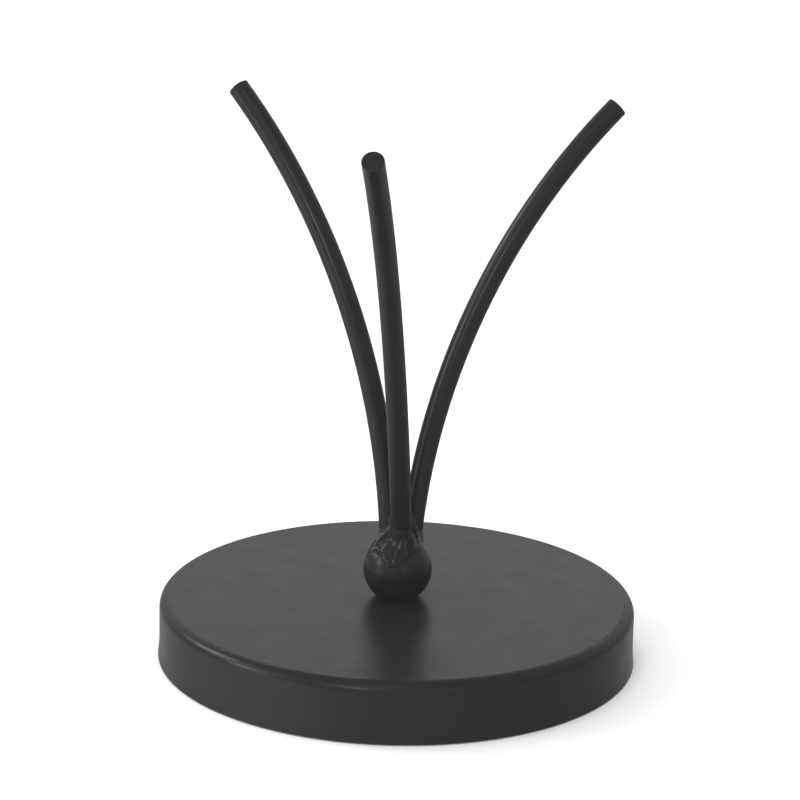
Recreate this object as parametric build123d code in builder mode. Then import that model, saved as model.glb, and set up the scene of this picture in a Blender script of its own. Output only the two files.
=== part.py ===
from build123d import *
import os
from math import cos, degrees, radians, sin, sqrt

# Three-armed mug tree. Millimetres, +Z up, arms named as seen from the front, which faces -Y.
# The origin is the middle of the underside of the foot pad.

# Base shell, a cap drawn from sheet steel
base_height = 23.15         # underside of the pad to the top of the shell
wall_radius = 89.45         # outside of the upright wall
shell_sheet = 1.2
shell_corner_radius = 4.0   # outside, where the top turns into the wall
foot_flare = 0.55           # how far the wall leans out at its foot
foot_flare_height = 8.0
shell_lift = 0.5            # the shell's foot stands this far above the table

# Weight and bottom pan
ballast_thickness = 8.0
ballast_clearance = 0.8     # between the weight and the shell's wall
ballast_corner_clearance = 0.6
pan_sheet = 1.0
pan_clearance = 1.6         # between the pan and the shell's wall
pan_bend_radius = 2.5
recess_floor_radius = 19.0  # flat middle of the pan, round the bolt
recess_mouth_radius = 30.0

# Foot pad, a ring of foam
pad_thickness = 2.0
pad_outer_margin = 5.0      # from the pan's outside to the pad's edge
pad_inner_margin = 5.0      # from the recess's mouth to the pad's hole

# Fixing bolt and washers
bolt_diameter = 8.0
bolt_length = 25.0
bolt_head_across_flats = 13.0
bolt_head_height = 5.3
bolt_clearance = 0.5        # radial, in the pan, weight and shell
thread_clearance = 0.05     # radial, in the ball
thread_run_out = 2.0        # tapped depth beyond the bolt's end
tip_chamfer = 1.0
plain_washer_radius = 12.0
plain_washer_thickness = 1.6
washer_bore_clearance = 0.2
spring_washer_radius = 7.2
spring_washer_thickness = 2.0
spring_washer_gap = 1.0
spring_washer_slant = 25.0  # degrees

# Ball
ball_diameter = 25.8
ball_seat_depth = 2.21      # height cut off the ball for its flat seat

# Arms, all bent on one former and cut to one length
rod_diameter = 8.0
arm_length = 182.0          # along the middle of the rod, from the ball's surface
arm_bend_radius = 248.6
rod_gap = 0.15              # between one arm's foot and the next
rod_end_fillet = 0.25
foot_run = 7.0              # how far each rod runs on into the ball before it is coped to it
cluster_shift = (1.0, 0.9)  # the middle of the three feet, from the ball's middle
cluster_turn = 3.2          # degrees, from the front round to the front arm's foot

# name: (direction of the bend, outward lean of the foot, sideways lean), in degrees.
# A direction is measured round from the front, and grows towards the right.
arms = {
    "front": (-5.5, 4.5, 1.85),
    "right": (111.5, 5.9, -1.7),
    "left": (235.8, 4.5, 1.7),
}

# Welds
weld_collar_height = 6.5    # above the point where the arm meets the ball
weld_collar_top = 0.4       # how far the collar stands out from the rod at its top
weld_collar_root = 1.4      # and at the ball
weld_core_inset = 1.2       # no weld gets further in than this, past the rods' middles
pool_radius = 5.0           # the pool of weld on the ball, below the arm
pool_rise = 1.2             # how far the pool stands out from the ball
pool_elevation = 39.0       # of the pool's middle, in degrees above the ball's equator
pool_offset = {"front": -10.0, "right": 6.0, "left": -12.0}   # degrees round from the foot

# Worked out from the sizes above
ball_radius = ball_diameter / 2
rod_radius = rod_diameter / 2
bolt_radius = bolt_diameter / 2
bolt_hole_radius = bolt_radius + bolt_clearance
shell_ceiling = base_height - shell_sheet
ballast_bottom = shell_ceiling - ballast_thickness
ballast_radius = wall_radius - shell_sheet - ballast_clearance
pan_radius = wall_radius - shell_sheet - pan_clearance
washer_top = ballast_bottom - pan_sheet
spring_washer_top = washer_top - plain_washer_thickness
head_top = spring_washer_top - spring_washer_thickness
bolt_end = head_top + bolt_length
ball_centre = base_height + ball_radius - ball_seat_depth
ball_middle = (0, 0, ball_centre)
foot_step = 360 / len(arms)
foot_direction = {name: cluster_turn + place * foot_step for place, name in enumerate(arms)}
foot_radius = (rod_diameter + rod_gap) / (2 * sin(radians(foot_step / 2)))
foot_height = ball_centre + sqrt(ball_radius**2 - foot_radius**2)
weld_core_radius = foot_radius - weld_core_inset


def outward(direction):
    """A level direction, as a vector: 0 is the front and 90 the right."""
    angle = radians(direction)
    return Vector(sin(angle), -cos(angle), 0)


def arm_plane(name):
    """The plane an arm is bent in: its middle is the foot, X points outwards and Y up."""
    direction, _, sideways = arms[name]
    out = outward(direction)
    up = Vector(0, 0, 1).rotate(Axis((0, 0, 0), out), sideways)
    foot = Vector(*cluster_shift, foot_height) + outward(foot_direction[name]) * foot_radius
    return Plane(origin=foot, x_dir=out, z_dir=out.cross(up))


def neighbour_planes(name):
    """The two upright planes, half way to each neighbour, that part one weld from the next."""
    middle = Vector(*cluster_shift, ball_centre)
    here = foot_direction[name]
    return [
        Plane(origin=middle, z_dir=outward(here + foot_step / 2 - 90)),
        Plane(origin=middle, z_dir=outward(here - foot_step / 2 + 90)),
    ]


os.makedirs("parts", exist_ok=True)

# Base shell: the outer line, thickened inwards
with BuildPart() as base_shell:
    with BuildSketch(Plane.XZ):
        with BuildLine():
            top = Line((bolt_hole_radius, base_height), (wall_radius - shell_corner_radius, base_height))
            corner = JernArc(top @ 1, (1, 0), shell_corner_radius, -90)
            wall = Line(corner @ 1, (wall_radius, shell_lift + foot_flare_height))
            TangentArc(wall @ 1, (wall_radius + foot_flare, shell_lift), tangent=(0, -1))
            offset(amount=shell_sheet, side=Side.RIGHT)
        make_face()
    revolve(axis=Axis.Z)
    split(bisect_by=Plane.XY.offset(shell_lift), keep=Keep.TOP)
base_shell.part.label = "base_shell"

# Weight: a disc with its upper edge rounded, so that it clears the shell's inner corner
with BuildPart() as ballast_disc:
    with Locations((0, 0, ballast_bottom)):
        Cylinder(ballast_radius, ballast_thickness, align=(Align.CENTER, Align.CENTER, Align.MIN))
    rim = ballast_disc.edges().filter_by(GeomType.CIRCLE).group_by(Axis.Z)[-1]
    fillet(rim, shell_corner_radius - shell_sheet + ballast_corner_clearance)
    lower_rim = ballast_disc.edges().filter_by(GeomType.CIRCLE).group_by(Axis.Z)[0]
    chamfer(lower_rim, ballast_corner_clearance)
    with Locations((0, 0, shell_ceiling)):
        Hole(bolt_hole_radius, depth=ballast_thickness)
ballast_disc.part.label = "ballast_disc"

# Bottom pan: the underside's line, thickened upwards
with BuildPart() as bottom_pan:
    with BuildSketch(Plane.XZ):
        with BuildLine():
            FilletPolyline(
                (pan_radius, ballast_bottom),
                (pan_radius, pad_thickness),
                (recess_mouth_radius, pad_thickness),
                (recess_floor_radius, washer_top),
                (bolt_hole_radius, washer_top),
                radius=pan_bend_radius,
            )
            offset(amount=pan_sheet, side=Side.RIGHT)
        make_face()
    revolve(axis=Axis.Z)
bottom_pan.part.label = "bottom_pan"

# Foot pad
with BuildPart() as foot_pad:
    with BuildSketch():
        Circle(pan_radius - pad_outer_margin)
        Circle(recess_mouth_radius + pad_inner_margin, mode=Mode.SUBTRACT)
    extrude(amount=pad_thickness)
foot_pad.part.label = "foot_pad"

# Ball: flat underneath, with a blind tapped hole
with BuildPart() as ball:
    with Locations(ball_middle):
        Sphere(ball_radius)
    split(bisect_by=Plane.XY.offset(base_height), keep=Keep.TOP)
    with BuildSketch(Plane.XZ):
        with BuildLine():
            bore = bolt_radius + thread_clearance
            bore_end = bolt_end + thread_run_out
            Polyline(
                (0, base_height),
                (bore, base_height),
                (bore, bore_end),
                (0, bore_end + bore / 2),
                close=True,
            )
        make_face()
    revolve(axis=Axis.Z, mode=Mode.SUBTRACT)
ball.part.label = "ball"

# Fixing bolt: a hexagon head with its corners turned down, and a plain shank for the thread
with BuildPart() as fixing_bolt:
    with BuildSketch(Plane.XY.offset(head_top - bolt_head_height)):
        RegularPolygon(bolt_head_across_flats / 2, 6, major_radius=False)
    extrude(amount=bolt_head_height)
    with Locations((0, 0, head_top - bolt_head_height)):
        head_disc = Cylinder(
            bolt_head_across_flats / sqrt(3),
            bolt_head_height,
            align=(Align.CENTER, Align.CENTER, Align.MIN),
            mode=Mode.PRIVATE,
        )
    corner_turn = bolt_head_across_flats * (1 / sqrt(3) - 1 / 2)
    turned_edge = head_disc.edges().group_by(Axis.Z)[0]
    add(head_disc.chamfer(corner_turn / sqrt(3), corner_turn, turned_edge), mode=Mode.INTERSECT)
    with Locations((0, 0, head_top)):
        Cylinder(bolt_radius, bolt_length, align=(Align.CENTER, Align.CENTER, Align.MIN))
    chamfer(fixing_bolt.edges().group_by(Axis.Z)[-1], tip_chamfer)
fixing_bolt.part.label = "fixing_bolt"

# Washers
with BuildPart() as plain_washer:
    with BuildSketch(Plane.XY.offset(spring_washer_top)):
        Circle(plain_washer_radius)
        Circle(bolt_radius + washer_bore_clearance, mode=Mode.SUBTRACT)
    extrude(amount=plain_washer_thickness)
plain_washer.part.label = "plain_washer"

with BuildPart() as spring_washer:
    with BuildSketch(Plane.XY.offset(head_top)):
        Circle(spring_washer_radius)
        Circle(bolt_radius + washer_bore_clearance, mode=Mode.SUBTRACT)
    extrude(amount=spring_washer_thickness)
    slit = Plane(origin=(spring_washer_radius, 0, head_top + spring_washer_thickness / 2)).rotated(
        (spring_washer_slant, 0, 0)
    )
    with Locations(slit):
        Box(
            spring_washer_radius,
            spring_washer_gap,
            2 * spring_washer_thickness,
            mode=Mode.SUBTRACT,
        )
spring_washer.part.label = "spring_washer"

# Arms: one round rod swept along one arc, its foot coped to the ball and its tip's edge broken
arm_parts = {}
uncut_rods = {}
for name, (_, lean, _) in arms.items():
    plane = arm_plane(name)
    foot_angle = radians(lean) - foot_run / arm_bend_radius
    start = (
        arm_bend_radius * (cos(radians(lean)) - cos(foot_angle)),
        arm_bend_radius * (sin(foot_angle) - sin(radians(lean))),
    )
    turn = degrees((foot_run + arm_length) / arm_bend_radius)
    with BuildPart() as arm:
        with BuildLine(plane):
            middle_line = JernArc(start, (sin(foot_angle), cos(foot_angle)), arm_bend_radius, -turn)
        with BuildSketch(Plane(origin=middle_line @ 0, z_dir=middle_line % 0)):
            Circle(rod_radius)
        sweep()
        uncut_rods[name] = arm.part
        with Locations(ball_middle):
            Sphere(ball_radius, mode=Mode.SUBTRACT)
        tip = arm.faces().filter_by(GeomType.PLANE).sort_by(Axis.Z)[-1]
        fillet(tip.edges(), rod_end_fillet)
    arm.part.label = "arm_" + name
    arm_parts[name] = arm.part

# Welds: a collar round each rod's foot and a pool on the ball, cut back to the rods and the ball they join
weld_parts = {}
for name, (_, lean, _) in arms.items():
    plane = arm_plane(name)
    rod_line = plane.y_dir * cos(radians(lean)) + plane.x_dir * sin(radians(lean))
    collar_base = plane.origin - rod_line * foot_run
    collar_length = foot_run + weld_collar_height
    pool_angle = radians(pool_elevation)
    pool_reach = ball_radius + pool_rise - pool_radius
    pool_side = outward(foot_direction[name] + pool_offset[name])
    pool_middle = Vector(*ball_middle) + pool_side * (pool_reach * cos(pool_angle))
    pool_middle += Vector(0, 0, pool_reach * sin(pool_angle))
    root_growth = (weld_collar_root - weld_collar_top) * foot_run / weld_collar_height
    with BuildPart() as weld:
        with Locations(Plane(origin=collar_base, z_dir=rod_line)):
            Cone(
                rod_radius + weld_collar_root + root_growth,
                rod_radius + weld_collar_top,
                collar_length,
                align=(Align.CENTER, Align.CENTER, Align.MIN),
            )
        with Locations(pool_middle):
            Sphere(pool_radius)
        for side in neighbour_planes(name):
            split(bisect_by=side, keep=Keep.TOP)
        add(uncut_rods[name], mode=Mode.SUBTRACT)
        with Locations(ball_middle):
            Sphere(ball_radius, mode=Mode.SUBTRACT)
        with Locations((*cluster_shift, ball_centre)):
            Cylinder(weld_core_radius, 3 * ball_diameter, mode=Mode.SUBTRACT)
    weld.part.label = "weld_" + name
    weld_parts[name] = weld.part

pieces = [
    base_shell.part,
    ballast_disc.part,
    bottom_pan.part,
    foot_pad.part,
    ball.part,
    fixing_bolt.part,
    plain_washer.part,
    spring_washer.part,
    *arm_parts.values(),
    *weld_parts.values(),
]
for piece in pieces:
    export_step(piece, f"parts/{piece.label}.step")
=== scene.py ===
from math import cos, pi, radians, sin

import bpy
from mathutils import Matrix, Vector


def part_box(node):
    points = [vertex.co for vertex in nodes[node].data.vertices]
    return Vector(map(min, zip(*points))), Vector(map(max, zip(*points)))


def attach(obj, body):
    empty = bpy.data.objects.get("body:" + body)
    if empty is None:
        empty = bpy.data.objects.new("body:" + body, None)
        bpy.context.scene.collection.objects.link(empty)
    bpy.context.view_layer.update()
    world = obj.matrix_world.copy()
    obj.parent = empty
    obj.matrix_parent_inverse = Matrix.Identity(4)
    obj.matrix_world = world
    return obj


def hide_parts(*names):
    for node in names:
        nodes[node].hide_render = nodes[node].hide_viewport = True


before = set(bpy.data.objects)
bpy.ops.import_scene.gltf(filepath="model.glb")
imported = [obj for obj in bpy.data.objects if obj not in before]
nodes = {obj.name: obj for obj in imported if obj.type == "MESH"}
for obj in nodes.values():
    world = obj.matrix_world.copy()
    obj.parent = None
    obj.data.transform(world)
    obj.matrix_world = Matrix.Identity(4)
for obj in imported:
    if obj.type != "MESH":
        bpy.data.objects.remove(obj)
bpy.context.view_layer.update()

MM = 0.001


# Camera: a long lens, a little over a metre from the middle of the base

camera_distance = 1.129
camera_elevation = radians(21.423)
camera_tilt = radians(16.558)     # the line of sight, below level
camera_roll = radians(1.251)
camera_turn = radians(-0.027)     # of the line of sight, to the right of the ball
camera_lens = 133.34


def place_camera():
    level = Vector((sin(camera_turn), cos(camera_turn), 0))
    sight = level * cos(camera_tilt) - Vector((0, 0, sin(camera_tilt)))
    level_right = sight.cross(Vector((0, 0, 1))).normalized()
    level_up = level_right.cross(sight)
    right = level_right * cos(camera_roll) + level_up * sin(camera_roll)
    up = right.cross(sight)
    camera = bpy.data.objects.new("camera", bpy.data.cameras.new("camera"))
    camera.data.lens = camera_lens
    camera.data.sensor_width = 36
    camera.data.clip_start = 0.01
    turn = Matrix((right, up, -sight)).transposed().to_4x4()
    place = Vector((0, -cos(camera_elevation), sin(camera_elevation))) * camera_distance
    camera.matrix_world = Matrix.Translation(place) @ turn
    bpy.context.scene.collection.objects.link(camera)
    bpy.context.scene.camera = camera


place_camera()


# Material nodes

class Finish:
    """A material with its shader, and short ways to add nodes that read the piece's own coordinates."""

    def __init__(self, name, colour, roughness, metallic=0.0):
        self.material = bpy.data.materials.new(name)
        self.material.use_nodes = True
        self.tree = self.material.node_tree
        self.shader = self.tree.nodes["Principled BSDF"]
        self.shader.inputs["Base Color"].default_value = (*colour, 1)
        self.shader.inputs["Roughness"].default_value = roughness
        self.shader.inputs["Metallic"].default_value = metallic
        self.place = self.node("ShaderNodeTexCoord").outputs["Object"]

    def node(self, kind, **settings):
        made = self.tree.nodes.new(kind)
        for key, value in settings.items():
            setattr(made, key, value)
        return made

    def link(self, source, target):
        self.tree.links.new(source, target)

    def noise(self, size, detail=2.0, roughness=0.5):
        """Soft blotches about this size across, in metres."""
        made = self.node("ShaderNodeTexNoise")
        made.inputs["Scale"].default_value = 1 / size
        made.inputs["Detail"].default_value = detail
        made.inputs["Roughness"].default_value = roughness
        self.link(self.place, made.inputs["Vector"])
        return made.outputs["Fac"]

    def between(self, source, low, high, start=0.3, end=0.7):
        """The source, spread from low to high."""
        made = self.node("ShaderNodeMapRange", clamp=True)
        made.inputs["From Min"].default_value = start
        made.inputs["From Max"].default_value = end
        made.inputs["To Min"].default_value = low
        made.inputs["To Max"].default_value = high
        self.link(source, made.inputs["Value"])
        return made.outputs["Result"]

    def bump(self, height, depth, under=None):
        """A rough surface of this depth, in metres, over another one."""
        made = self.node("ShaderNodeBump")
        made.inputs["Strength"].default_value = 1.0
        made.inputs["Distance"].default_value = depth
        self.link(height, made.inputs["Height"])
        if under:
            self.link(under, made.inputs["Normal"])
        return made.outputs["Normal"]

    def use(self, **sockets):
        for name, source in sockets.items():
            self.link(source, self.shader.inputs[name.replace("_", " ").title()])
        return self.material


def satin_black(name, smoothest, roughest, wave_depth):
    """Black powder coat: soft waves, a fine grain over them, and a gloss that changes from place to place."""
    paint = Finish(name, (0.010, 0.010, 0.0103), roughest)
    paint.shader.inputs["IOR"].default_value = 1.29
    waves = paint.bump(paint.noise(4 * MM, 4.0, 0.6), wave_depth)
    grain = paint.bump(paint.noise(0.9 * MM, 2.0), 0.008 * MM, waves)
    satin = paint.between(paint.noise(9 * MM, 3.0), smoothest, roughest)
    return paint.use(roughness=satin, normal=grain)


def zinc_plate():
    """Plated steel, cloudy where the plating is thicker."""
    zinc = Finish("zinc_plated_steel", (0.60, 0.61, 0.60), 0.34, 1.0)
    return zinc.use(roughness=zinc.between(zinc.noise(4 * MM, 4.0), 0.28, 0.42))


def foam():
    """Black foam with fine cells."""
    pad = Finish("foam_pad", (0.03, 0.03, 0.032), 0.9)
    cells = pad.noise(0.6 * MM, 2.0)
    return pad.use(normal=pad.bump(cells, 0.1 * MM))


def iron():
    """Grey iron as it comes from a sand mould."""
    weight = Finish("cast_iron", (0.08, 0.075, 0.07), 0.7, 0.6)
    sand = weight.noise(1.0 * MM, 3.0)
    return weight.use(normal=weight.bump(sand, 0.1 * MM))


finishes = {
    "satin_black_paint": satin_black("satin_black_powder_coat", 0.27, 0.33, 0.035 * MM),
    "zinc_plated_steel": zinc_plate(),
    "pad_foam": foam(),
    "cast_iron_weight": iron(),
}
# the paint ran thicker over the welds, where it set smoother and glossier
bead_paint = satin_black("satin_black_over_the_beads", 0.2, 0.24, 0.01 * MM)
for node in nodes.values():
    node.material_slots[0].material = finishes[node.material_slots[0].material.name]


# Welds: bead metal is laid round the three feet as one lump, which is then parted between them

ball_low, ball_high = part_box("ball")
ball_radius = (ball_high[0] - ball_low[0]) / 2
ball_middle = Vector((0, 0, ball_high[2] - ball_radius))
cluster_middle = Vector((1.0 * MM, 0.9 * MM, 0))
cluster_turn = 3.2          # degrees, from the front round to the front arm's foot
foot_radius = 4.705 * MM    # from the middle of the cluster to the middle of each foot
foot_turn = {"weld_front": cluster_turn, "weld_right": cluster_turn + 120, "weld_left": cluster_turn + 240}
# how far each rod leans at its foot, in x and y, for each millimetre up
rod_lean = {
    "weld_front": (-0.040, -0.075),
    "weld_right": (0.085, 0.066),
    "weld_left": (-0.048, 0.069),
}

skin = 0.12 * MM            # how far the lump's own ball lies under the real one
bead_grain = 0.28 * MM      # the lump's finest detail
smoothing_passes = 22
ripple_size = 2.4 * MM
ripple_depth = 0.16 * MM
tuck = 0.03 * MM            # how far each bead reaches into the ball
overlap = 0.05 * MM         # how far each bead runs into the next
foot_heights = (44, 53)     # mm, between which each rod's foot is wrapped in metal
groove_bottom = 42          # mm, inside the ball
groove_lean = 0.05          # how far the grooves lean out, for each millimetre above the feet
wedge_size = 40 * MM        # more than the cluster's height, and its reach from the middle
wedge_lift = 1 * MM         # from the ball's middle to the wedge's foot


def compass(degrees, length=1.0):
    """A level direction: 0 is the front and 90 the right."""
    return Vector((sin(radians(degrees)), -cos(radians(degrees)), 0)) * length


def towards(around, above):
    """The direction that is this far round from the front and up from level, in degrees."""
    return compass(around) * cos(radians(above)) + Vector((0, 0, sin(radians(above))))


def over_ball(around, above, distance):
    """The point at this distance from the ball's middle, in this direction."""
    return ball_middle + towards(around, above) * distance


def drop(place, radius):
    """One round drop of metal."""
    bpy.ops.mesh.primitive_ico_sphere_add(subdivisions=4, radius=radius, location=place)
    return bpy.context.object


def run_over_ball(*stops, steps=7):
    """Drops along the ball. Each stop is (around, above, radius, proud), in degrees and mm."""
    laid = []
    for one, two in zip(stops, stops[1:]):
        for step in range(steps):
            share = step / (steps - 1)
            around, above, radius, proud = (a + (b - a) * share for a, b in zip(one, two))
            distance = ball_radius + (proud - radius) * MM
            laid.append(drop(over_ball(around, above, distance), radius * MM))
    return laid


def run_through(*stops, steps=9):
    """Drops from point to point. Each stop is (x, y, z, radius), in mm."""
    laid = []
    for one, two in zip(stops, stops[1:]):
        for step in range(steps):
            x, y, z, radius = (a + (b - a) * step / (steps - 1) for a, b in zip(one, two))
            laid.append(drop(Vector((x, y, z)) * MM, radius * MM))
    return laid


def run_up_groove(between, top, low_radius, top_radius, reach, steps=18):
    """Drops up the groove between two rods, from inside the ball to this height. All in mm."""
    laid = []
    for step in range(steps):
        share = step / (steps - 1)
        height = groove_bottom + (top - groove_bottom) * share
        radius = low_radius + (top_radius - low_radius) * share
        out = (reach + groove_lean * (height - foot_heights[0])) * MM
        place = cluster_middle + compass(between, out) + Vector((0, 0, height * MM))
        laid.append(drop(place, radius * MM))
    return laid


def taper(middle, low, high, low_radius, high_radius, lean=(0, 0)):
    """An upright round taper between two heights, in mm, leaning this far over its height in x and y."""
    middle = middle + Vector((*lean, 0)) * MM / 2
    bpy.ops.mesh.primitive_cone_add(
        vertices=64,
        radius1=low_radius * MM,
        radius2=high_radius * MM,
        depth=(high - low) * MM,
        location=(middle.x, middle.y, (low + high) / 2 * MM),
        rotation=(-lean[1] / (high - low), lean[0] / (high - low), 0),
    )
    return bpy.context.object


def foot(name):
    """The middle of this weld's rod, where it meets the ball."""
    return cluster_middle + compass(foot_turn[name], foot_radius)


def lay_round_feet():
    """Metal round the foot of each rod, and under the whole cluster. Heights and radii are in mm."""
    low, high = foot_heights
    laid = []
    for name, lean in rod_lean.items():
        laid.append(taper(foot(name), low, high, 3.9, 3.8, [share * (high - low) for share in lean]))
    laid.append(taper(cluster_middle, 39.5, 50.5, 8.8, 6.1))
    laid.append(taper(foot("weld_front"), 39.5, 49, 7.0, 4.25, (0.5, 0.2)))
    laid.append(taper(foot("weld_front"), 45, 55, 4.4, 3.85, (-0.4, -0.75)))
    laid.append(taper(foot("weld_left"), 40, 50, 5.4, 3.95))
    laid.append(taper(foot("weld_right"), 40, 50, 5.0, 3.95))
    return laid


def lay_front_bead():
    """A broad tongue down the ball with a rolled lip, and its left side standing up beside a valley."""
    tongue = run_over_ball((2, 66, 4.4, 1.4), (-4, 54, 4.8, 1.3), (-8, 40, 5.2, 1.0), (-9, 34, 5.0, 0.9))
    lip = run_over_ball(
        (-31, 41, 2.4, 0.75),
        (-25, 35.5, 2.6, 0.8),
        (-10, 31, 3.0, 0.85),
        (6, 36, 2.6, 0.75),
        (19, 45, 2.2, 0.5),
    )
    side = run_over_ball((-20, 67, 2.0, 2.5), (-31, 57, 1.9, 1.7), (-36, 46, 2.2, 1.25))
    valley_end = run_over_ball((-34, 46, 2.4, 0.9), (-48, 44, 2.6, 0.65), (-60, 47, 2.6, 0.5))
    return tongue + lip + side + valley_end


def lay_left_bead():
    """A ridge from the groove out to the side of the ball, over a filled hollow."""
    ridge = run_through(
        (-2.6, -2.6, 50.8, 1.4),
        (-5.0, -1.8, 47.5, 1.9),
        (-7.3, -1.9, 43.9, 2.4),
        (-9.0, -2.1, 40.3, 2.7),
        (-9.5, -2.4, 37.7, 2.4),
    )
    return ridge + run_over_ball((-52, 68, 3.0, 1.0), (-60, 52, 3.0, 0.5))


def lay_right_bead():
    """A run round the right side of the ball, and the runs that close the cluster behind."""
    side = run_over_ball((24, 58, 4.6, 1.2), (46, 55, 4.6, 0.9), (72, 52, 4.4, 0.7), (94, 48, 3.8, 0.5))
    behind = run_over_ball((128, 60, 4.2, 1.2), (132, 40, 4.4, 0.8))
    behind += run_over_ball((-128, 60, 4.0, 1.4), (-134, 40, 4.4, 0.9))
    behind += run_over_ball((172, 62, 3.6, 1.0), (176, 48, 3.8, 0.7))
    return side + behind


def lay_in_grooves():
    grooves = run_up_groove(cluster_turn + 60, 55.0, 3.0, 1.5, 3.6)
    grooves += run_up_groove(cluster_turn - 60, 54.8, 2.8, 1.3, 3.6)
    grooves += run_up_groove(cluster_turn + 180, 54.5, 2.8, 1.4, 3.7)
    return grooves


def lay_spatter():
    """A ball of spatter on the right of the front rod, and the swell under it: (x, y, z, radius), in mm."""
    spots = [(5.2, -3.0, 53.6, 0.8), (5.5, -2.3, 50.6, 1.9), (6.2, -2.2, 47.9, 1.4)]
    return [drop(Vector((x, y, z)) * MM, radius * MM) for x, y, z, radius in spots]


def fuse(laid):
    """Joins the metal into one lump with a closed skin, and lets it flow and ripple a little."""
    bpy.ops.object.select_all(action="DESELECT")
    for lump in laid:
        lump.select_set(True)
    bpy.context.view_layer.objects.active = laid[0]
    bpy.ops.object.join()
    metal = bpy.context.object
    bpy.ops.object.transform_apply(location=True, rotation=True, scale=True)
    metal.name = "bead_metal"
    metal.data.remesh_voxel_size = bead_grain
    bpy.ops.object.voxel_remesh()
    flow = metal.modifiers.new("flow", "SMOOTH")
    flow.factor = 0.5
    flow.iterations = smoothing_passes
    bpy.ops.object.modifier_apply(modifier="flow")
    lumps = bpy.data.textures.new("bead_lumps", "CLOUDS")
    lumps.noise_scale = ripple_size
    lumps.noise_depth = 1
    ripple = metal.modifiers.new("ripple", "DISPLACE")
    ripple.texture = lumps
    ripple.texture_coords = "GLOBAL"
    ripple.strength = ripple_depth
    ripple.mid_level = 0.35
    bpy.ops.object.modifier_apply(modifier="ripple")
    return metal


def lay_bead_metal():
    bpy.ops.object.select_all(action="DESELECT")
    laid = [drop(ball_middle, ball_radius - skin)]
    laid += lay_round_feet()
    laid += lay_front_bead()
    laid += lay_left_bead()
    laid += lay_right_bead()
    laid += lay_in_grooves()
    laid += lay_spatter()
    return fuse(laid)


def shape_with(piece, tool, operation):
    """Takes the tool away from the piece, or keeps what they share, and then drops the tool."""
    boolean = piece.modifiers.new("cut", "BOOLEAN")
    boolean.operation = operation
    boolean.object = tool
    boolean.solver = "EXACT"
    bpy.ops.object.select_all(action="DESELECT")
    piece.select_set(True)
    bpy.context.view_layer.objects.active = piece
    bpy.ops.object.modifier_apply(modifier="cut")
    bpy.data.objects.remove(tool)


def wedge(turn):
    """A third of the cluster, from its middle out past the ball, with the ball's place left empty."""
    corner = cluster_middle - compass(turn, overlap / sin(radians(60)))
    foot_height = ball_middle.z + wedge_lift
    bpy.ops.object.select_all(action="DESELECT")
    bpy.ops.mesh.primitive_cylinder_add(vertices=4, radius=wedge_size / 2, depth=wedge_size)
    third = bpy.context.object
    # stretched from a square to a rhombus, with 120 degrees at the cluster's middle
    third.scale.x = 3 ** 0.5
    third.rotation_euler.z = radians(turn)
    third.location = corner + compass(turn, wedge_size / 2) + Vector((0, 0, foot_height + wedge_size / 2))
    bpy.ops.object.transform_apply(location=True, rotation=True, scale=True)
    hollow = ball_radius - tuck
    bpy.ops.mesh.primitive_uv_sphere_add(segments=128, ring_count=64, radius=hollow, location=ball_middle)
    shape_with(third, bpy.context.object, "DIFFERENCE")
    return third


def part_welds(metal):
    """One closed piece round each foot, hollow where the ball goes."""
    for name, turn in foot_turn.items():
        weld = metal.copy()
        weld.data = metal.data.copy()
        weld.name = name + "_bead"
        bpy.context.scene.collection.objects.link(weld)
        shape_with(weld, wedge(turn), "INTERSECT")
        bpy.ops.object.shade_smooth_by_angle(angle=radians(50))
        weld.data.materials.clear()
        weld.data.materials.append(bead_paint)
        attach(weld, "root")
        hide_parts(name)
    bpy.data.objects.remove(metal)


part_welds(lay_bead_metal())


# Floor and light: a white sweep, a pale room with brighter bands near the floor, and soft boxes round it

aim = Vector((0, 0, 0.08))      # what the soft boxes face
box_distance = 1.8
veil = 0.012                    # what the darkest tone is lifted to


def lay_floor():
    """White paper, left out of the gloss, where the room's lower half stands for it."""
    bpy.ops.object.select_all(action="DESELECT")
    bpy.ops.mesh.primitive_plane_add(size=8)
    floor = bpy.context.object
    floor.name = "floor"
    paper = Finish("white_paper", (0.93, 0.93, 0.93), 0.85)
    floor.data.materials.append(paper.material)
    floor.visible_glossy = False


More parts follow.
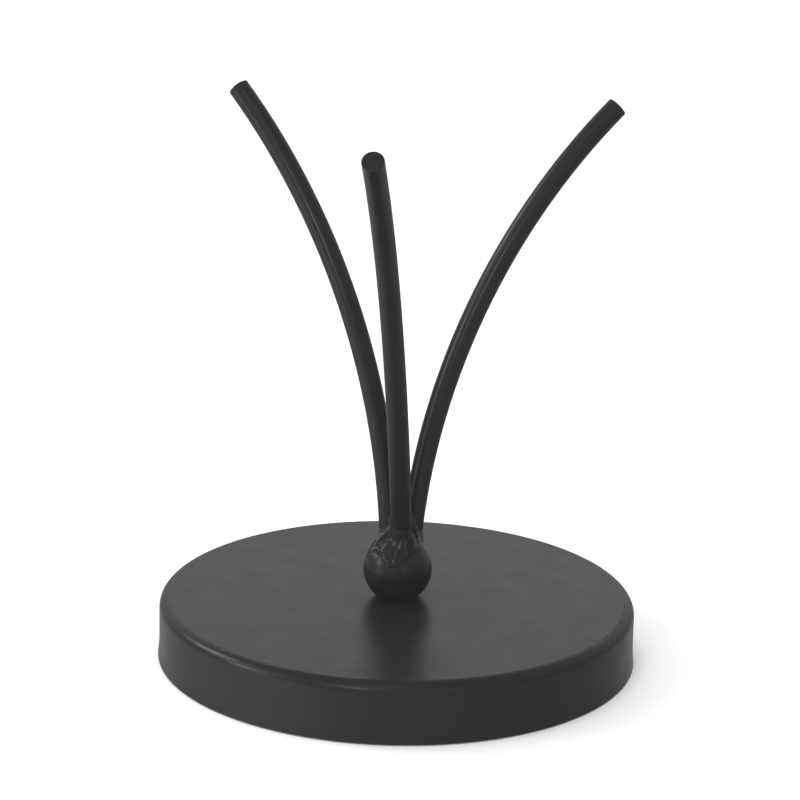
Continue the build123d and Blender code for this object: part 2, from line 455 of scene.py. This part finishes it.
def light_the_room():
    """The room's light by direction: a ceiling, a low and a middle band, and the floor as gloss sees it."""
    world = bpy.data.worlds.new("studio")
    world.use_nodes = True
    bpy.context.scene.world = world
    tree = world.node_tree

    def value(kind, *sources, **settings):
        """The outputs of a node that is fed with these numbers and sockets."""
        made = tree.nodes.new(kind)
        for key, setting in settings.items():
            setattr(made, key, setting)
        for socket, source in zip(made.inputs, sources):
            if isinstance(source, (int, float)):
                socket.default_value = source
            else:
                tree.links.new(source, socket)
        return made.outputs

    def ramp(source, *stops):
        """The source, turned into a level by straight runs between stops."""
        made = tree.nodes.new("ShaderNodeFloatCurve")
        tree.links.new(source, made.inputs["Value"])
        curve = made.mapping.curves[0]
        made.mapping.use_clip = False
        made.mapping.extend = "HORIZONTAL"
        for point, (place, level) in zip(curve.points, (stops[0], stops[-1])):
            point.location = (place, level)
        for place, level in stops[1:-1]:
            curve.points.new(place, level)
        for point in curve.points:
            point.handle_type = "VECTOR"
        made.mapping.update()
        return made.outputs[0]

    direction = value("ShaderNodeTexCoord")["Generated"]
    x, y, height = value("ShaderNodeSeparateXYZ", direction)
    front = value("ShaderNodeMath", y, -1, operation="MULTIPLY")[0]
    turn = value("ShaderNodeMath", x, front, operation="ARCTAN2")[0]
    around = value("ShaderNodeMapRange", turn, -radians(180), radians(180), 0, 1)[0]

    # by height: 0 is level and 1 straight up
    ceiling = ramp(
        height,
        (0, 0.0), (0.17, 0.05), (0.26, 0.36), (0.46, 0.36),
        (0.56, 0.5), (0.78, 0.5), (0.88, 0.33), (1, 0.33),
    )
    low = ramp(height, (0, 0.0), (0.02, 1.0), (0.22, 1.0), (0.3, 0.0), (1, 0.0))
    middle = ramp(height, (0, 0.0), (0.22, 0.0), (0.3, 1.0), (0.6, 1.0), (0.7, 0.0), (1, 0.0))
    below = value("ShaderNodeMapRange", height, 0, -0.02, 0, 1)[0]
    # round the room: 0 and 1 are behind, 0.25 the left, 0.5 the front and 0.75 the right
    low_round = ramp(
        around,
        (0, 0.45), (0.167, 0.3), (0.333, 0.25), (0.5, 0.4),
        (0.667, 0.1), (0.833, 0.45), (1, 0.45),
    )
    middle_round = ramp(around, (0, 0.5), (0.167, 0.15), (0.667, 0.05), (0.833, 0.2), (1, 0.5))
    below_round = ramp(
        around,
        (0, 0.45), (0.167, 0.6), (0.333, 1.8), (0.42, 1.1),
        (0.5, 0.85), (0.667, 0.5), (0.833, 0.4), (1, 0.45),
    )
    low_band = value("ShaderNodeMath", low, low_round, operation="MULTIPLY")[0]
    middle_band = value("ShaderNodeMath", middle, middle_round, operation="MULTIPLY")[0]
    floor_band = value("ShaderNodeMath", below, below_round, operation="MULTIPLY")[0]
    low_bands = value("ShaderNodeMath", low_band, floor_band, operation="ADD")[0]
    bands = value("ShaderNodeMath", low_bands, middle_band, operation="ADD")[0]
    total = value("ShaderNodeMath", bands, ceiling, operation="ADD")[0]
    background = tree.nodes["Background"]
    background.inputs["Color"].default_value = (1, 1, 1, 1)
    tree.links.new(total, background.inputs["Strength"])


def hang(light, around, above, distance=0.0):
    """Hangs a light in this direction from what is lit, facing it."""
    facing = towards(around, above)
    lamp = bpy.data.objects.new(light.name, light)
    lamp.location = aim + facing * distance
    lamp.rotation_euler = facing.to_track_quat("Z", "Y").to_euler()
    bpy.context.scene.collection.objects.link(lamp)
    return lamp


def soft_box(name, around, above, across, brightness):
    """A round soft box, in degrees and metres, as bright to look at whatever its size."""
    light = bpy.data.lights.new(name, "AREA")
    light.shape = "DISK"
    light.size = across
    light.energy = pi * pi * (across / 2) ** 2 * brightness
    hang(light, around, above, box_distance)


def skylight(name, around, above, strength):
    """Broad even light on the whole floor, too soft to show in the paint."""
    light = bpy.data.lights.new(name, "SUN")
    light.energy = strength
    light.angle = radians(35)
    hang(light, around, above).visible_glossy = False


def hang_lights():
    skylight("overhead", 0, 90, 1.5)
    skylight("over_left_shoulder", 225, 55, 0.4)
    soft_box("window_left", 285, 20, 0.35, 15)
    soft_box("wall_left", 285, 32, 0.9, 1.1)
    soft_box("window_front", 350, 55, 0.8, 1.1)
    soft_box("lamp_right", 28, 14, 0.3, 4)
    soft_box("low_left", 295, 6, 0.9, 1.4)
    soft_box("lamp_front_left", 340, 23, 0.28, 20)
    soft_box("window_behind_left", 253, 31, 0.6, 9)
    soft_box("wall_right", 80, 30, 0.9, 0.15)


def lift_the_blacks():
    """Raises the darkest tone, as a veil of light over the lens does."""
    view = bpy.context.scene.view_settings
    view.view_transform = "Standard"
    view.use_curve_mapping = True
    curves = view.curve_mapping
    curves.use_clip = False
    *_, all_colours = curves.curves
    all_colours.points[0].location = (0, veil)
    all_colours.points[-1].location = (1, 1)
    curves.update()


lay_floor()
light_the_room()
hang_lights()
lift_the_blacks()
